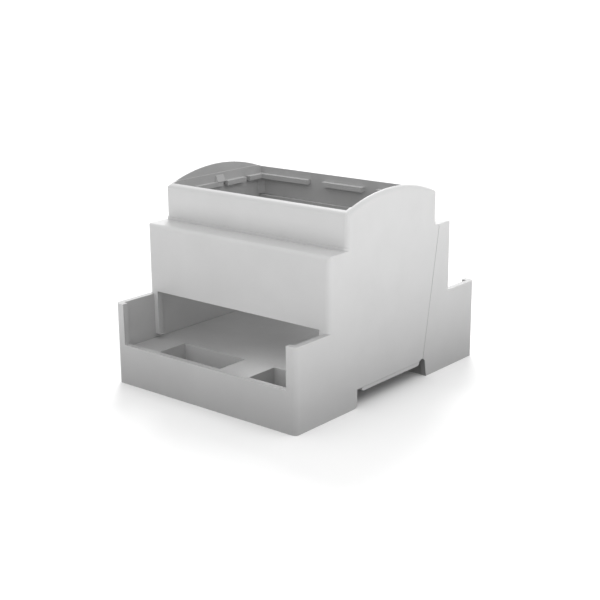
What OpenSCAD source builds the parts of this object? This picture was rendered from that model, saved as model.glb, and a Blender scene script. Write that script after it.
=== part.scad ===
// Four-module housing for electronics on 35 mm top-hat rail, open front, no terminal covers.
// X runs along the rail, Y across it, Z away from it; the feet stand on Z = 0.
// Near side: Y below 0, where the fixed hooks are. Far side: Y above 0, where the clips slide.

/* [Outer form] */
// Length along the rail, four 17.5 mm modules and play
body_len = 71; // [68:0.5:90]
// Overall width, across both terminal trays
leg_w = 90; // [88:0.5:94]
// Width of the middle block, over the terminal windows
mid_w = 61.2; // [59:0.1:63]
// Width of the raised front block
dome_w = 44.6; // [43:0.1:46]
// Height of the terminal trays
leg_h = 25.4; // [24:0.1:27]
// Height of the shoulders
shoulder_h = 47.5; // [45:0.1:49]
// Height of the crown of the front block
crown_h = 62.3; // [61.5:0.1:64]
// Radius of the crown's arc
crown_r = 60; // [55:1:75]
// Thickness of all outer walls
wall = 1.8; // [1.6:0.1:2]
// Radius on the outer edges
edge_r = 1.5; // [1:0.1:1.6]
// Radius at the feet of the end walls, beside the rail
foot_r = 1.5; // [0.5:0.1:2.5]
// Height of the lip round the foot of the front block
lip_h = 0.9; // [0.5:0.1:1.5]
// How far the lip stands proud
lip_out = 0.35; // [0.2:0.05:0.6]

/* [Terminal trays] */
// Height of the sill of the tray cut-outs
sill_h = 12.6; // [12.2:0.1:15]
// Width of the posts beside the cut-outs
post_w = 3.35; // [2.5:0.05:5]
// Width of the jambs beside the terminal windows
jamb_w = 2.4; // [1.5:0.1:4]
// Gap under the foot of each jamb
jamb_gap = 1.3; // [0.5:0.1:2]
// Height of the snap ridges that hold the deck down
ridge_h = 0.8; // [0.5:0.1:0.9]
// How far the snap ridges stand out
ridge_out = 0.6; // [0.4:0.1:1]

/* [Deck and wells] */
// Height of the deck over the rail channel
deck_h = 11.2; // [10.6:0.1:11.6]
// Width of the deck between the wells
deck_w = 58.6; // [56:0.1:60]
// Where the left well begins along the rail
well_a_x = -22; // [-24:0.5:-20]
// Length of the left well
well_a_len = 25; // [20:0.5:27]
// Where the right well begins along the rail
well_b_x = 14.4; // [12:0.1:16]
// Thickness of the ribs under the deck
rib_t = 1.6; // [1.2:0.1:2]

/* [Rail channel] */
// Clear width between the feet
rail_gap = 35.8; // [35.4:0.1:36.4]
// How far the channel is off the middle, towards the clips
rail_off = 0.6; // [0:0.1:1]
// Thickness of the rail's flange
rail_t = 1; // [0.9:0.1:1.5]
// Height of the seat that the rail's flanges meet
seat_h = 4.5; // [4.2:0.1:5]
// Length of the seat ribs across the rail
seat_len = 29.4; // [27:0.1:30]
// Where the middle of the seat ribs is
seat_y = -0.2; // [-0.5:0.1:0.5]
// Number of seat ribs
seat_ribs = 6; // [4:1:8]
// Radius at both ends of a seat rib
seat_r = 0.9; // [0.5:0.1:1.1]
// How far the fixed hooks reach under the rail
hook_out = 1.9; // [1.5:0.1:2.1]
// Width of a fixed hook
hook_w = 12; // [8:0.5:15]

/* [Parting line] */
// How far the end walls stay above the rail seat
rim_up = 1.2; // [0.9:0.1:2]
// How far the notch at the foot of the line rises above that edge
notch_up = 0.5; // [0.3:0.1:1]
// Width of the notch, from the far side of the rail channel
notch_w = 2.2; // [1.8:0.1:3]
// Width of the slant at the near end of the notch
notch_lead = 0.9; // [0.5:0.1:1.2]
// How far the base's cheek reaches into the notch, at its widest
cheek_out = 1.1; // [0.6:0.1:1.5]
// How far its foot reaches into the rail channel
cheek_foot = 0.2; // [0:0.1:0.4]
// How far the head of the line is outside the front block
head_out = 1.35; // [1:0.05:2]
// How far the head of the line is below the shoulder
head_drop = 0.8; // [0.5:0.1:1.5]

/* [Rail clips] */
// Distance from an end of the body to the middle of a clip
clip_in = 18; // [17.8:0.1:18.5]
// Width of a clip's plate
clip_w = 16; // [14:0.5:17]
// Thickness of a clip
clip_t = 2.8; // [2.4:0.1:3]
// Width of the guide tongue on each side of a clip
tongue_w = 1; // [0.8:0.1:1.3]
// Thickness of the guide tongues
tongue_t = 1.5; // [1.2:0.1:1.8]
// How far the nose reaches under the rail
nose_out = 2.1; // [1.8:0.1:2.3]
// How far a clip pulls out to let the rail go
clip_travel = 3; // [2.5:0.1:3.4]
// Width of the stop post in the clip's window
stop_w = 6; // [4:0.1:7]
// Depth of the stop post along the slide
stop_d = 3; // [2:0.1:4]
// How far the stop post is inside the outer wall
stop_in = 6.7; // [6:0.1:8]
// Outer radius of the spring loop
loop_r = 3.6; // [3:0.1:3.8]
// Thickness of the spring loop
loop_t = 1; // [0.7:0.1:1.2]
// Room beside the spring loop in its window
loop_room = 0.9; // [0.5:0.1:1.5]
// Depth of the slot for a screwdriver
driver_slot_d = 2; // [1:0.1:2.5]
// Width of that slot
driver_slot_w = 6; // [4:0.1:8]

/* [Front panel seat] */
// How far the ledges that carry the front panel are below the crown
ledge_drop = 5.9; // [5:0.1:7]
// Thickness of the ledges
ledge_t = 1.5; // [1:0.1:2]
// How far the ledges stand out from the walls
ledge_out = 1.8; // [1.2:0.1:2.2]
// How far the shallow middle ledge of an end wall stands out
shallow_out = 1; // [0.6:0.1:1.2]
// Length of the left corner ledge along a long wall
left_len = 21.2; // [18:0.1:22]
// Length of the right corner ledge along a long wall
right_len = 18.7; // [15:0.1:20]
// Length of the middle ledge along the long walls
middle_len = 16; // [12:0.1:18]
// Where the middle ledge is centred
middle_x = 1.5; // [-2:0.1:3]
// Length of the corner ledges along the end walls
end_len = 7.6; // [6:0.1:8]
// Length of the inner ledges along the end walls
inner_len = 9; // [7:0.1:9.5]
// Where the inner ledges begin, from the middle
inner_y = 2.2; // [1.8:0.1:2.5]
// Width of the locating nub on an end wall
nub_w = 3.5; // [3:0.1:4]
// Height of the locating nub
nub_h = 2; // [1.5:0.1:2.5]
// How far the nub stands out
nub_out = 1.2; // [0.8:0.1:1.5]
// Size of the corner gussets under the ledges
gusset_w = 1.2; // [1:0.1:1.6]
// Height of the corner gussets
gusset_h = 5.3; // [4:0.1:6]
// How far the step in the end walls is below the crown
step_drop = 3.1; // [2.3:0.1:3.7]
// Depth of that step
step_d = 0.4; // [0.2:0.1:0.6]

/* [Fits] */
// Gap of the parting line between housing and base
part_gap = 0.15; // [0.1:0.05:0.25]
// Clearance between the two mouldings inside
fit = 0.2; // [0.1:0.05:0.3]
// Running clearance round a clip
run = 0.3; // [0.2:0.05:0.35]
// Play of the rail's flanges over the hooks and noses
rail_play = 0.2; // [0.1:0.05:0.4]

/* [Hidden] */
$fn = 64;
eps = 0.5;                                // how far a cut runs past a face
shell_colour = "#cfd0ce";
clip_colour = "#c4c5c3";

half_len = body_len / 2;
in_x = half_len - wall;                   // inner face of the end walls
deck_x = in_x - fit;                      // ends of what lies between the end walls
leg_y = leg_w / 2;
mid_y = mid_w / 2;
dome_y = dome_w / 2;
dome_in_y = dome_y - wall;                // inner face of the front block's long walls
deck_y = deck_w / 2;
deck_under = deck_h - wall;
well_a_end = well_a_x + well_a_len;
tray_in_y = leg_y - wall;                 // inner face of the tray walls

near_y = rail_off - rail_gap / 2;         // near side of the rail channel
far_y = rail_off + rail_gap / 2;          // far side of the rail channel
flange_gap = 0.1;                         // under the end walls, over the seat flange
rim_h = seat_h + rim_up;                  // lower edge of the end walls over the rail
seat_near = seat_y - seat_len / 2;
seat_far = seat_y + seat_len / 2;
hook_h = seat_h - rail_t - rail_play;     // top of the hooks and of the clips

notch_h = rim_h + notch_up;
part_foot_y = far_y - notch_w;            // foot of the parting line, at the notch
part_head_h = shoulder_h - head_drop;
part_head_y = dome_y + head_out;          // its head, under the shoulder
part_toe_y = dome_y + lip_out;            // its end on the shoulder, at the lip

ledge_h = crown_h - ledge_drop;
step_h = crown_h - step_drop;

arc_z = crown_h - crown_r;                // centre of the crown's arc
corner_y = dome_y - edge_r;               // centre of the arc on the long top edges
corner_z = arc_z + sqrt(pow(crown_r - edge_r, 2) - corner_y * corner_y);

clip_low = hook_h - clip_t;
tongue_low = hook_h - tongue_t;
clip_half = clip_w / 2;
tunnel_half = clip_half + tongue_w + run; // inside of a clip's tunnel
tunnel_h = hook_h + run;
tunnel_wall = 1.5;
lip_top = tongue_low - run;               // top of the guide lips under the tongues
stop_far = tray_in_y - stop_in;
stop_near = stop_far - stop_d;
window_far = stop_far + run;
window_near = stop_near - run - clip_travel - 2 * loop_r + loop_t;
window_half = loop_r + loop_room;
clip_x = [clip_in - half_len, half_len - clip_in];

rib_pitch = (2 * deck_x - rib_t) / (seat_ribs - 1);
rib_x = [for (i = [0 : seat_ribs - 1]) rib_t / 2 - deck_x + i * rib_pitch];
hook_low = 0.6;                           // underside of the fixed hooks
hook_lead = 1;                            // their lead-in
nose_lead = 1.6;                          // lead-in of a clip's nose
lap_t = 1.2;                              // thickness of what laps a joint inside
lap_w = 4;                                // width of the strips behind the parting line

// A flat shape of Y and Z, drawn out along the rail
module along_x(len) {
    rotate([90, 0, 90]) linear_extrude(len, center = true) children();
}

// A rectangle between two corners
module span(p, q) {
    translate(p) square(q - p);
}

// A box between two corners
module box(p, q) {
    translate(p) cube(q - p);
}

// Rectangle about the origin with round corners
module round_rect(x, y, r) {
    square([x - 2 * r, y], center = true);
    square([x, y - 2 * r], center = true);
    for (sx = [-1, 1], sy = [-1, 1])
        translate([sx * (x / 2 - r), sy * (y / 2 - r)]) circle(r);
}

// A block with its upright and its long top edges rounded
module block(w, h, r) {
    intersection() {
        linear_extrude(h) round_rect(body_len, w, edge_r);
        along_x(body_len + 1) {
            span([-w / 2, -1], [w / 2, h - r]);
            span([r - w / 2, -1], [w / 2 - r, h]);
            for (s = [-1, 1])
                translate([s * (w / 2 - r), h - r]) circle(r);
        }
    }
}

// The front block: an arched top with the arc's rims and both long edges rounded
module dome() {
    intersection() {
        linear_extrude(crown_h + 1) round_rect(body_len, dome_w, edge_r);
        along_x(body_len + 1) {
            span([-dome_y, -1], [dome_y, corner_z]);
            intersection() {
                translate([0, arc_z]) circle(crown_r, $fn = 128);
                square([2 * corner_y * crown_r / (crown_r - edge_r), 4 * crown_r], center = true);
            }
            for (s = [-1, 1])
                translate([s * corner_y, corner_z]) circle(edge_r);
        }
        translate([0, 0, arc_z]) rotate([0, 90, 0]) rotate_extrude($fn = 128) {
            span([0, -half_len], [crown_r - edge_r, half_len]);
            span([0, edge_r - half_len], [crown_r, half_len - edge_r]);
            for (s = [-1, 1])
                translate([crown_r - edge_r, s * (half_len - edge_r)]) circle(edge_r);
        }
    }
}

// The closed outer form that housing and base share
module outer_form() {
    linear_extrude(leg_h) round_rect(body_len, leg_w, edge_r);
    block(mid_w, shoulder_h, edge_r);
    dome();
    linear_extrude(shoulder_h + lip_h) round_rect(body_len, dome_w + 2 * lip_out, edge_r);
}

// What is hollow in that form: the hall, both trays, windows and cut-outs
module hollow() {
    along_x(2 * in_x) {
        span([-dome_in_y, shoulder_h - wall - eps], [dome_in_y, crown_h + 1]);
        span([wall - mid_y, -1], [mid_y - wall, shoulder_h - wall]);
        span([-mid_y - eps, -1], [mid_y + eps, deck_h + jamb_gap]);
        for (s = [-1, 1])
            translate([s * (mid_y + tray_in_y) / 2, leg_h / 2])
                square([tray_in_y - mid_y, leg_h + 2], center = true);
    }
    box([jamb_w - in_x, -mid_y - eps, -1], [in_x - jamb_w, mid_y + eps, leg_h]);
    box([post_w - half_len, -leg_y - 1, sill_h], [half_len - post_w, leg_y + 1, leg_h + 1]);
    box([-in_x - step_d, -dome_in_y, step_h], [in_x + step_d, dome_in_y, crown_h + 1]);
}

// Outline of the housing's share, seen along the rail
module housing_side() {
    difference() {
        polygon([
            [-leg_y - 1, -1], [near_y, -1], [near_y, rim_h], [seat_far, rim_h],
            [part_foot_y - notch_lead, notch_h], [part_foot_y, notch_h],
            [part_head_y, part_head_h], [part_toe_y, shoulder_h + fit],
            [dome_y + 1, shoulder_h + fit], [dome_y + 1, crown_h + 1], [-leg_y - 1, crown_h + 1]
        ]);
        difference() {
            span([near_y - foot_r, -1], [near_y + eps, foot_r]);
            translate([near_y - foot_r, foot_r]) circle(foot_r);
        }
    }
}

// Outline of the base's share, seen along the rail
module base_side() {
    polygon([
        [far_y, -1], [leg_y + 1, -1], [leg_y + 1, shoulder_h], [part_toe_y + fit, shoulder_h],
        [part_head_y + part_gap, part_head_h], [part_foot_y + part_gap, notch_h],
        [far_y - cheek_out, notch_h - head_drop], [far_y - cheek_foot, 0]
    ]);
}

// One ledge along a long wall, on the far side, from x to x + len
module long_ledge(x, len) {
    box([x, dome_in_y - ledge_out, ledge_h - ledge_t], [x + len, dome_in_y + eps, ledge_h]);
}

// One ledge along the left end wall, from y to y + len
module end_ledge(y, len, out) {
    box([-in_x - eps, y, ledge_h - ledge_t], [out - in_x, y + len, ledge_h]);
}

// Seat of the front panel: half of it, on the far wall and the left end wall
module panel_seat_half() {
    long_ledge(-in_x - eps, left_len + eps);
    long_ledge(in_x - right_len, right_len + eps);
    long_ledge(middle_x - middle_len / 2, middle_len);
    end_ledge(dome_in_y - end_len, end_len, ledge_out);
    end_ledge(-dome_in_y, end_len, ledge_out);
    end_ledge(inner_y, inner_len, ledge_out);
    end_ledge(-inner_y - inner_len, inner_len + inner_y + nub_w / 4, shallow_out);
    box([-in_x - eps, -nub_w / 2, ledge_h], [nub_out - in_x, nub_w / 2, ledge_h + nub_h]);
    for (s = [-1, 1])
        translate([s * (in_x + eps / 2 - gusset_w / 2), dome_in_y + eps / 2 - gusset_w / 2,
                   ledge_h - ledge_t - gusset_h])
            linear_extrude(gusset_h + eps) square(gusset_w + eps, center = true);
}

// Front housing: both end walls, near tray, window, shoulder and the open front block
module housing() {
    color(shell_colour) {
        difference() {
            intersection() {
                outer_form();
                along_x(body_len + 2) housing_side();
            }
            hollow();
            box([-in_x, 0, shoulder_h - wall - eps], [in_x, leg_y, shoulder_h + fit]);
        }
        panel_seat_half();
        rotate([0, 0, 180]) panel_seat_half();
        snap_ridge(-deck_x, well_a_x);
        snap_ridge(well_a_end, well_b_x);
    }
}

// Ridge on the near tray wall that snaps over a tab of the deck
module snap_ridge(x0, x1) {
    box([x0 + fit, -tray_in_y - eps, deck_h + fit],
        [x1 - fit, ridge_out - tray_in_y, deck_h + fit + ridge_h]);
}

// Floor over one foot: deck, channel wall, skirt and wells, with tabs out to the tray wall
module foot_floor(end_x, channel_y, out_y) {
    box([-end_x, channel_y, deck_under], [end_x, deck_y, deck_h]);
    box([-end_x, channel_y, 0], [end_x, channel_y + wall, deck_h]);
    box([-end_x, deck_y - wall, 0], [end_x, deck_y, deck_h]);
    box([-end_x, deck_y - eps, 0], [end_x, out_y, wall]);
    for (x = [[-end_x, well_a_x], [well_a_end, well_b_x]])
        box([x[0], deck_y - eps, 0], [x[1], out_y, deck_h]);
    for (x = rib_x)
        box([x - rib_t / 2, channel_y, 0], [x + rib_t / 2, deck_y, deck_h]);
}

// Space inside the two tabs of a foot, open below
module tab_spaces(end_x, out_y) {
    for (x = [[-end_x, well_a_x], [well_a_end, well_b_x]])
        box([x[0] + wall, deck_y, -1], [x[1] - wall, out_y, deck_under]);
}

// Section of a seat rib across the rail, its lower corners rounded
module seat_profile(top) {
    for (y = [seat_near + seat_r, seat_far - seat_r])
        translate([y, seat_h + seat_r]) circle(seat_r);
    span([seat_near + seat_r, seat_h], [seat_far - seat_r, top]);
    span([seat_near, seat_h + seat_r], [seat_far, max(top, seat_h + seat_r)]);
}

// All seat ribs, and the flanges that close the end walls' lower edges
module rail_seat() {
    for (x = rib_x)
        translate([x, 0, 0]) along_x(rib_t) seat_profile(deck_under + eps);
    for (s = [-1, 1])
        translate([s * (deck_x + half_len - flange_gap - rib_t) / 2, 0, 0])
            along_x(half_len - flange_gap - deck_x + rib_t)
                intersection() {
                    seat_profile(rim_h);
                    span([seat_near, seat_h], [seat_far, rim_h - flange_gap]);
                }
}

// A fixed hook on the near channel wall, with a lead-in below
module hook(x) {
    translate([x, 0, 0]) along_x(hook_w)
        polygon([
            [near_y - eps, hook_low], [near_y + hook_out - hook_lead, hook_low],
            [near_y + hook_out, hook_low + hook_lead], [near_y + hook_out, hook_h],
            [near_y - eps, hook_h]
        ]);
}

// Walls and roof of a clip's tunnel in the far foot
module tunnel_block(x) {
    box([x - tunnel_half - tunnel_wall, far_y, 0],
        [x + tunnel_half + tunnel_wall, tray_in_y + eps, tunnel_h + tunnel_wall]);
}

// The tunnel itself, through the channel wall and the tray wall
module tunnel_space(x) {
    box([x - tunnel_half, far_y - eps, -1], [x + tunnel_half, leg_y + 1, tunnel_h]);
}

// What holds and stops a clip: a lip under each tongue, and the post in its window
module tunnel_guides(x) {
    for (s = [-1, 1])
        translate([x + s * (clip_half + run + tunnel_half + eps) / 2, (far_y + leg_y) / 2, lip_top / 2])
            cube([tunnel_half + eps - clip_half - run, leg_y - far_y, lip_top], center = true);
    box([x - stop_w / 2, stop_near, clip_low], [x + stop_w / 2, stop_far, tunnel_h + eps]);
}

// Y of the parting line at a height
function part_y(z) = part_foot_y
    + (z - notch_h) * (part_head_y - part_foot_y) / (part_head_h - notch_h);

// A band beside the parting line, from one offset to another
module part_band(from, to) {
    z0 = deck_h - eps;
    z1 = shoulder_h - wall + eps;
    polygon([
        [part_y(z0) + from, z0], [part_y(z0) + to, z0],
        [part_y(z1) + to, z1], [part_y(z1) + from, z1]
    ]);
}

// Strip on each cheek that laps the housing's end wall inside
module lap_strips() {
    for (s = [-1, 1]) {
        translate([s * (deck_x - lap_t / 2), 0, 0])
            along_x(lap_t) part_band(-lap_w / 2, lap_w / 2);
        translate([s * (in_x - lap_t / 2), 0, 0])
            along_x(lap_t + eps) part_band(part_gap + eps, lap_w / 2);
    }
}

// Edge of the far shoulder that closes the joint behind the front block's wall
module shoulder_tongue() {
    tongue_y = dome_in_y - fit;
    box([-deck_x, tongue_y - lap_t, shoulder_h - wall], [deck_x, part_toe_y + 1, shoulder_h]);
    box([-deck_x, tongue_y - lap_t, shoulder_h - wall], [deck_x, tongue_y, shoulder_h + wall]);
}

// Base: deck with its wells, rail seat and hooks, the clips' tunnels and the whole far side
module base() {
    color(shell_colour) {
        difference() {
            union() {
                difference() {
                    intersection() {
                        outer_form();
                        along_x(body_len + 2) base_side();
                    }
                    hollow();
                }
                box([-deck_x, near_y - eps, deck_under], [deck_x, far_y + eps, deck_h]);
                mirror([0, 1, 0]) foot_floor(deck_x, -near_y, tray_in_y - fit);
                foot_floor(in_x + eps, far_y, tray_in_y + eps);
                for (x = clip_x)
                    tunnel_block(x);
            }
            mirror([0, 1, 0]) tab_spaces(deck_x, tray_in_y - fit - wall);
            tab_spaces(in_x, tray_in_y);
            for (x = clip_x)
                tunnel_space(x);
        }
        rail_seat();
        for (x = clip_x) {
            hook(x);
            tunnel_guides(x);
        }
        lap_strips();
        shoulder_tongue();
    }
}

// A sliding clip: plate with nose, window, spring loop, guide tongues and screwdriver slot
module rail_clip(x) {
    tip_y = far_y - nose_out;
    loop_y = window_near + loop_r - loop_t;
    color(clip_colour) translate([x, 0, 0]) {
        difference() {
            union() {
                translate([0, (tip_y + leg_y) / 2, clip_low])
                    linear_extrude(clip_t) round_rect(clip_w, leg_y - tip_y, tunnel_wall);
                box([-clip_half - tongue_w, far_y + wall, tongue_low],
                    [clip_half + tongue_w, tray_in_y - wall, hook_h]);
            }
            box([-window_half, window_near, -1], [window_half, window_far, deck_h]);
            box([-driver_slot_w / 2, leg_y - 2 * driver_slot_d, -1],
                [driver_slot_w / 2, leg_y - driver_slot_d, deck_h]);
            along_x(clip_w + 1)
                polygon([[tip_y - eps, 0], [tip_y + nose_lead, 0],
                         [tip_y + nose_lead, clip_low], [tip_y, clip_low + nose_lead],
                         [tip_y - eps, clip_low + nose_lead]]);
        }
        translate([0, 0, clip_low]) linear_extrude(clip_t) {
            translate([0, loop_y]) intersection() {
                difference() {
                    circle(loop_r);
                    circle(loop_r - loop_t);
                }
                span([-loop_r, 0], [loop_r, loop_r]);
            }
            for (s = [-1, 1])
                translate([s * (loop_r - loop_t / 2), loop_y / 2 + window_near / 2])
                    square([loop_t, loop_y - window_near + eps], center = true);
        }
    }
}

housing();
base();
rail_clip(clip_x[0]);  // rail_clip_a
rail_clip(clip_x[1]);  // rail_clip_b
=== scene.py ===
import math

import bmesh
import bpy
from mathutils import Matrix, Vector


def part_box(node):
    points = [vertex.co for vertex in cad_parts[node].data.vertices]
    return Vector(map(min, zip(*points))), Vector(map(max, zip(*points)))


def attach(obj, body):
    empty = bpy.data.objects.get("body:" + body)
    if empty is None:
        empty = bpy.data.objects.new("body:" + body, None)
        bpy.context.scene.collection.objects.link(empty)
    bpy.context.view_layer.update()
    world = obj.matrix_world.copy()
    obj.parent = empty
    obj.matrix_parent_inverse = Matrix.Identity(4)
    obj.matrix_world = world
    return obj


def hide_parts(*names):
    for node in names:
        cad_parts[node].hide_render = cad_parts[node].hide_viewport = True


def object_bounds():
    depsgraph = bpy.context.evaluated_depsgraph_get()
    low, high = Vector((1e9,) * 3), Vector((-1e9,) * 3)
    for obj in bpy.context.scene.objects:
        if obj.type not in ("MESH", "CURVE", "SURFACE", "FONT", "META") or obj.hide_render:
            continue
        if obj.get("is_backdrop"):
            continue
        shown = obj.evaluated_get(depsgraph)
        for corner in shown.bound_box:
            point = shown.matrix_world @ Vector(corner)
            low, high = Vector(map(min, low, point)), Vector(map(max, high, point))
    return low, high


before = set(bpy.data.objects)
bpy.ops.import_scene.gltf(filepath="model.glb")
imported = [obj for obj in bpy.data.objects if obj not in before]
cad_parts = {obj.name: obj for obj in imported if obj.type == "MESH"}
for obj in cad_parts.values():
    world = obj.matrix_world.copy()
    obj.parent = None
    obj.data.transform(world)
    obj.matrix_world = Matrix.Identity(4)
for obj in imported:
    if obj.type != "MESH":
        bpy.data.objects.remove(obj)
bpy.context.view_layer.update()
scene = bpy.context.scene
print("frame loaded:", sorted(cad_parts))

# Camera: turned round the middle of the housing, seen from the near right corner.
cameraView = {
    "azimuth": 39.717,
    "elevation": 15.578,
    "roll": -0.387,
    "distance": 0.375386,
    "aim": (0, 0, 0.025),
    "lens": 71.946,
    "shift": (-0.0004, -0.0132),
    "sensor": 36,
    "clip": (0.02, 20),
}


def placeCamera(view):
    # back points from the aim to the camera; right and up are level axes turned by the roll
    a, e, r = (math.radians(view[k]) for k in ("azimuth", "elevation", "roll"))
    back = Vector((math.sin(a) * math.cos(e), -math.cos(a) * math.cos(e), math.sin(e)))
    level = Vector((0, 0, 1)).cross(back).normalized()
    upright = back.cross(level)
    right = math.cos(r) * level + math.sin(r) * upright
    up = back.cross(right)
    lens = bpy.data.cameras.new("camera")
    lens.lens, lens.sensor_width = view["lens"], view["sensor"]
    lens.shift_x, lens.shift_y = view["shift"]
    lens.clip_start, lens.clip_end = view["clip"]
    camera = bpy.data.objects.new("camera", lens)
    turn = Matrix((right, up, back)).transposed()
    camera.matrix_world = Matrix.Translation(
        Vector(view["aim"]) + back * view["distance"]) @ turn.to_4x4()
    scene.collection.objects.link(camera)
    scene.camera = camera


placeCamera(cameraView)
scene.view_settings.view_transform = "Standard"
print("camera placed")


# Materials

def linear(code):
    # sRGB hex to linear red, green, blue and 1
    parts = [int(code[i:i + 2], 16) / 255 for i in (1, 3, 5)]
    return [c / 12.92 if c <= 0.04045 else ((c + 0.055) / 1.055) ** 2.4 for c in parts] + [1]


def addNode(tree, kind, settings=None, links=None):
    # settings are attributes or input values; links give (node, output) for an input
    node = tree.nodes.new(kind)
    for name, value in (settings or {}).items():
        if name in node.inputs:
            node.inputs[name].default_value = value
        else:
            setattr(node, name, value)
    for name, (source, output) in (links or {}).items():
        tree.links.new(source.outputs[output], node.inputs[name])
    return node


noiseSpan = (0.3, 0.7)    # where nearly all of a noise's values lie


def mouldedPlastic(name, finish):
    # A moulded surface: fine eroded grain in the relief, and a faint uneven tone
    # where the melt flowed, both worked out from sizes in millimetres.
    material = bpy.data.materials.new(name)
    material.use_nodes = True
    tree = material.node_tree
    tree.nodes.clear()
    place = addNode(tree, "ShaderNodeTexCoord")
    body = addNode(tree, "ShaderNodeMapping", {"vector_type": "POINT"},
                   {"Vector": (place, "Object")})
    grain = addNode(tree, "ShaderNodeTexNoise",
                    {"Scale": 1000 / finish["grainMm"], "Detail": 3, "Roughness": 0.6},
                    {"Vector": (body, "Vector")})
    flow = addNode(tree, "ShaderNodeTexNoise",
                   {"Scale": 1000 / finish["flowMm"], "Detail": 4, "Roughness": 0.55},
                   {"Vector": (body, "Vector")})
    tone = addNode(tree, "ShaderNodeValToRGB", None, {"Fac": (flow, "Fac")})
    tone.color_ramp.elements[0].position = noiseSpan[0]
    tone.color_ramp.elements[0].color = linear(finish["dark"])
    tone.color_ramp.elements[1].position = noiseSpan[1]
    tone.color_ramp.elements[1].color = linear(finish["light"])
    polish = addNode(tree, "ShaderNodeMapRange",
                     {"From Min": noiseSpan[0], "From Max": noiseSpan[1],
                      "To Min": finish["roughness"] - finish["uneven"],
                      "To Max": finish["roughness"] + finish["uneven"]},
                     {"Value": (grain, "Fac")})
    relief = addNode(tree, "ShaderNodeBump",
                     {"Strength": finish["relief"], "Distance": finish["depthMm"] / 1000},
                     {"Height": (grain, "Fac")})
    plastic = addNode(tree, "ShaderNodeBsdfPrincipled", {"IOR": finish["ior"]},
                      {"Base Color": (tone, "Color"), "Roughness": (polish, "Result"),
                       "Normal": (relief, "Normal")})
    addNode(tree, "ShaderNodeOutputMaterial", None, {"Surface": (plastic, "BSDF")})
    return material


# Light grey ABS and polycarbonate blend, injection moulded in a spark-eroded tool: an even
# matt face with soft, broad gloss. The real grain is about 0.05 mm, drawn at 0.35 mm to show.
shellGrain = {"dark": "#c7c7c7", "light": "#cbcbcb", "grainMm": 0.35, "flowMm": 14, "depthMm": 0.02,
              "relief": 0.35, "roughness": 0.5, "uneven": 0.05, "ior": 1.57}
# The same plastic off the plainly milled core: smoother, with a closer gloss. Its darker tone is
# painted shade for the shaded inside of the housing, not a colour of its own.
shellCoreShaded = {"dark": "#adadad", "light": "#b3b3b3", "grainMm": 0.6, "flowMm": 9, "depthMm": 0.03,
             "relief": 0.25, "roughness": 0.4, "uneven": 0.06, "ior": 1.57}
# Light grey polyamide, injection moulded: waxy satin.
clipNylon = {"dark": "#bfbfbe", "light": "#c6c6c5", "grainMm": 0.5, "flowMm": 6, "depthMm": 0.01,
             "relief": 0.25, "roughness": 0.36, "uneven": 0.05, "ior": 1.53}
grainedAbs = mouldedPlastic("grainedAbsBlend", shellGrain)
# the core material is drawn darker than the shell: painted shade for the inside
shadedCoreAbs = mouldedPlastic("shadedCoreAbsBlend", shellCoreShaded)
nylon = mouldedPlastic("mouldedNylon", clipNylon)
print("materials made")


# Mouldings: copies of the part's solids with their corners joined and sharp edges broken

mouldings = {
    "edgeMm": 0.12,        # radius that a tool leaves on a sharp edge
    "edgeAngle": 35,       # edges sharper than this are broken
    "joinM": 1e-6,         # corners closer than this are one
    "flatAngle": 0.3,      # faces that differ by less are one flat face
    "innerGap": 0.35,      # how far inside the outer walls a face counts as inner, in mm
    "square": 0.9,         # normal's share along an axis when the face is square to it
    "leaning": 0.5,        # the same for a face that may lean
    "floorM": 0.03,        # level faces below this belong to the deck and the wells
}

# Corners of the front housing's panel seat that its drawn copy moves, in mm either side of
# the middle: the snap nubs lean back to the wall, the webs in the corners are flat.
seat = {
    "webFrom": 49.5,
    "webTo": 55.0,
    # across the end wall and along it: where a corner is, and where it goes
    "webs": [
        ((32.5, 19.3), (32.9, 19.7)),
        ((32.5, 20.5), (32.1, 20.5)),
        ((33.7, 19.3), (33.7, 18.9)),
    ],
    "nub": (32.5, 1.75),
    "nubTop": 58.4,
    "nubLean": 0.9,
    "near": 0.02,          # how close a corner has to be to count
}


def reshapeSeat(mesh):
    nubX, nubY = seat["nub"]
    for vert in mesh.verts:
        x, y, z = (1000 * c for c in vert.co)
        inWeb = seat["webFrom"] < z < seat["webTo"]
        for (wasX, wasY), (newX, newY) in seat["webs"]:
            if inWeb and math.hypot(abs(x) - wasX, abs(y) - wasY) < seat["near"]:
                vert.co.x = math.copysign(newX, x) / 1000
                vert.co.y = math.copysign(newY, y) / 1000
        onNub = math.hypot(abs(x) - nubX, abs(y) - nubY) < seat["near"]
        if onNub and z > seat["nubTop"] - seat["near"]:
            vert.co.x = math.copysign(nubX + seat["nubLean"], x) / 1000


def merged(node):
    # the part's mesh with its corners joined and its flat faces whole
    mesh = bmesh.new()
    mesh.from_mesh(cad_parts[node].data)
    bmesh.ops.remove_doubles(mesh, verts=mesh.verts, dist=mouldings["joinM"])
    if node == "housing":
        reshapeSeat(mesh)
    bmesh.ops.dissolve_limit(mesh, angle_limit=math.radians(mouldings["flatAngle"]),
                             verts=mesh.verts, edges=mesh.edges)
    return mesh


def moulding(node, name, body, materials, pickMaterial):
    mesh = merged(node)
    for face in mesh.faces:
        face.material_index = pickMaterial(face)
        face.smooth = True
    data = bpy.data.meshes.new(name)
    mesh.to_mesh(data)
    mesh.free()
    for material in materials:
        data.materials.append(material)
    piece = bpy.data.objects.new(name, data)
    scene.collection.objects.link(piece)
    edge = piece.modifiers.new("brokenEdges", "BEVEL")
    edge.width = mouldings["edgeMm"] / 1000
    edge.segments = 2
    edge.limit_method = "ANGLE"
    edge.angle_limit = math.radians(mouldings["edgeAngle"])
    edge.use_clamp_overlap = True
    even = piece.modifiers.new("evenNormals", "WEIGHTED_NORMAL")
    even.mode, even.weight, even.keep_sharp = "FACE_AREA", 100, True
    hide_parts(node)
    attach(piece, body)


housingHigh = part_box("housing")[1]


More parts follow.
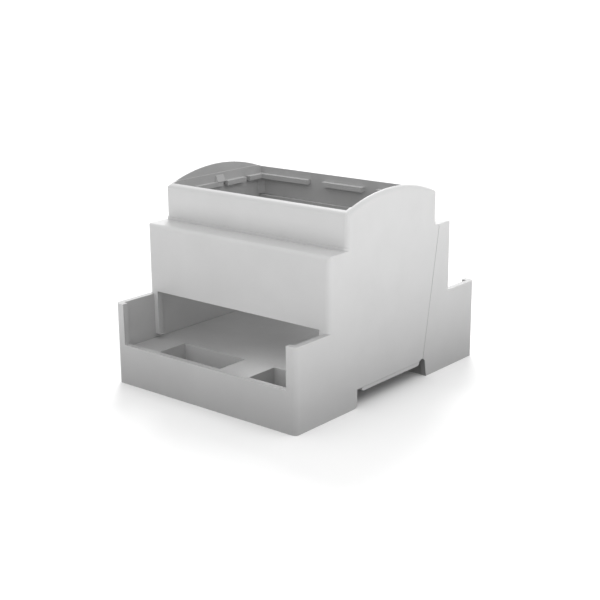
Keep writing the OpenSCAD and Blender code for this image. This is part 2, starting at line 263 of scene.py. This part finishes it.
def shadedInnerFace(face):
    # 1 for a face that the core formed, 0 for one that the cavity formed; the core's faces take the
    # darker material, which is painted shade inside the housing
    middle, normal = face.calc_center_median(), face.normal
    gap = mouldings["innerGap"] / 1000
    square, leaning = mouldings["square"], mouldings["leaning"]
    endInner = abs(normal.x) > square and abs(middle.x) < housingHigh.x - gap
    facesIn = normal.y * middle.y < 0 and abs(normal.y) > leaning
    floor = abs(normal.z) > square and middle.z < mouldings["floorM"]
    return int(endInner or facesIn or floor)


# faces inside the housing and the base get the darker core material: painted shade
moulding("housing", "frontHousing", "shell", [grainedAbs, shadedCoreAbs], shadedInnerFace)
moulding("base", "railBase", "shell", [grainedAbs, shadedCoreAbs], shadedInnerFace)
moulding("rail_clip_a", "railClipLeft", "clip_a", [nylon], lambda face: 0)
moulding("rail_clip_b", "railClipRight", "clip_b", [nylon], lambda face: 0)
print("mouldings made")


# Studio: a plain white floor, an even surround, one soft box and a broad back light

studio = {
    "floorM": 40,
    "floorTone": "#ffffff",
    "floorRoughness": 0.9,
    "cardTone": "#000000",
    "cardMm": 38,              # how far the black card reaches beyond the housing
    "cardDrop": 0.0005,
    # brightness overhead, at the horizon and below it, and the heights between which it
    # changes, as the sine of the angle over the horizon
    "ceiling": 0.91,
    "horizon": 1.0,
    "ground": 1.75,
    "ceilingBlend": (0.02, 0.07),
    "groundBlend": (-0.2, -0.05),
}
softBoxes = {
    # name: place, what it faces, width and height in metres, power in watts
    "rightHigh": ((0.18, 0.00, 0.24), (0.03, 0, 0.04), (0.14, 0.14), 0.085),
}
# A broad light far behind: it reaches the tops and rims but none of the near walls.
backLight = {"azimuth": 218, "height": 38, "width": 22, "power": 1.4}


def flatSheet(name, halfX, halfY, height, tone):
    data = bpy.data.meshes.new(name)
    corners = [(x * halfX, y * halfY, height) for x, y in ((-1, -1), (1, -1), (1, 1), (-1, 1))]
    data.from_pydata(corners, [], [(0, 1, 2, 3)])
    paper = bpy.data.materials.new(name + "Paper")
    paper.use_nodes = True
    sheet = paper.node_tree.nodes["Principled BSDF"]
    sheet.inputs["Base Color"].default_value = linear(tone)
    sheet.inputs["Roughness"].default_value = studio["floorRoughness"]
    data.materials.append(paper)
    flat = bpy.data.objects.new(name, data)
    scene.collection.objects.link(flat)
    flat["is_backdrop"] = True
    return flat


def makeFloor():
    # the floor throws no light back; the surround's lower half does, and round the foot of
    # the housing a black card under the floor takes it away again
    half = studio["floorM"] / 2
    floor = flatSheet("floor", half, half, 0, studio["floorTone"])
    floor.visible_diffuse = False
    reach = studio["cardMm"] / 1000
    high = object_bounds()[1]
    card = flatSheet("blackCard", high.x + reach, high.y + reach, -studio["cardDrop"],
                     studio["cardTone"])
    card.visible_camera = False
    card.visible_glossy = False
    card.visible_shadow = False


def makeSoftBox(name, place, aim, size, power):
    light = bpy.data.lights.new(name, "AREA")
    light.shape, (light.size, light.size_y), light.energy = "RECTANGLE", size, power
    box = bpy.data.objects.new(name, light)
    box.location = place
    box.rotation_euler = (Vector(aim) - Vector(place)).to_track_quat("-Z", "Y").to_euler()
    scene.collection.objects.link(box)


def makeSun(name, azimuth, height, width, power):
    # azimuth goes round like the camera's; width is how wide the light looks from the floor
    a, e = math.radians(azimuth), math.radians(height)
    towards = Vector((math.sin(a) * math.cos(e), -math.cos(a) * math.cos(e), math.sin(e)))
    light = bpy.data.lights.new(name, "SUN")
    light.energy, light.angle = power, math.radians(width)
    sun = bpy.data.objects.new(name, light)
    sun.rotation_euler = towards.to_track_quat("Z", "Y").to_euler()
    scene.collection.objects.link(sun)


def makeSurround():
    # white at the horizon, brighter below it and a little dimmer overhead
    world = bpy.data.worlds.new("surround")
    world.use_nodes = True
    tree = world.node_tree
    tree.nodes.clear()
    towards = addNode(tree, "ShaderNodeTexCoord")
    parts = addNode(tree, "ShaderNodeSeparateXYZ", None, {"Vector": (towards, "Generated")})
    above = addNode(tree, "ShaderNodeMapRange",
                    {"From Min": studio["ceilingBlend"][0], "From Max": studio["ceilingBlend"][1],
                     "To Min": 0.0, "To Max": studio["ceiling"] - studio["horizon"]},
                    {"Value": (parts, "Z")})
    below = addNode(tree, "ShaderNodeMapRange",
                    {"From Min": studio["groundBlend"][0], "From Max": studio["groundBlend"][1],
                     "To Min": studio["ground"], "To Max": studio["horizon"]},
                    {"Value": (parts, "Z")})
    power = addNode(tree, "ShaderNodeMath", {"operation": "ADD"})
    tree.links.new(above.outputs["Result"], power.inputs[0])
    tree.links.new(below.outputs["Result"], power.inputs[1])
    glow = addNode(tree, "ShaderNodeBackground", {"Color": (1, 1, 1, 1)},
                   {"Strength": (power, "Value")})
    addNode(tree, "ShaderNodeOutputWorld", None, {"Surface": (glow, "Background")})
    scene.world = world


makeFloor()
for name, values in softBoxes.items():
    makeSoftBox(name, *values)
makeSun("backLight", **backLight)
makeSurround()
print("studio made")

bpy.context.view_layer.update()
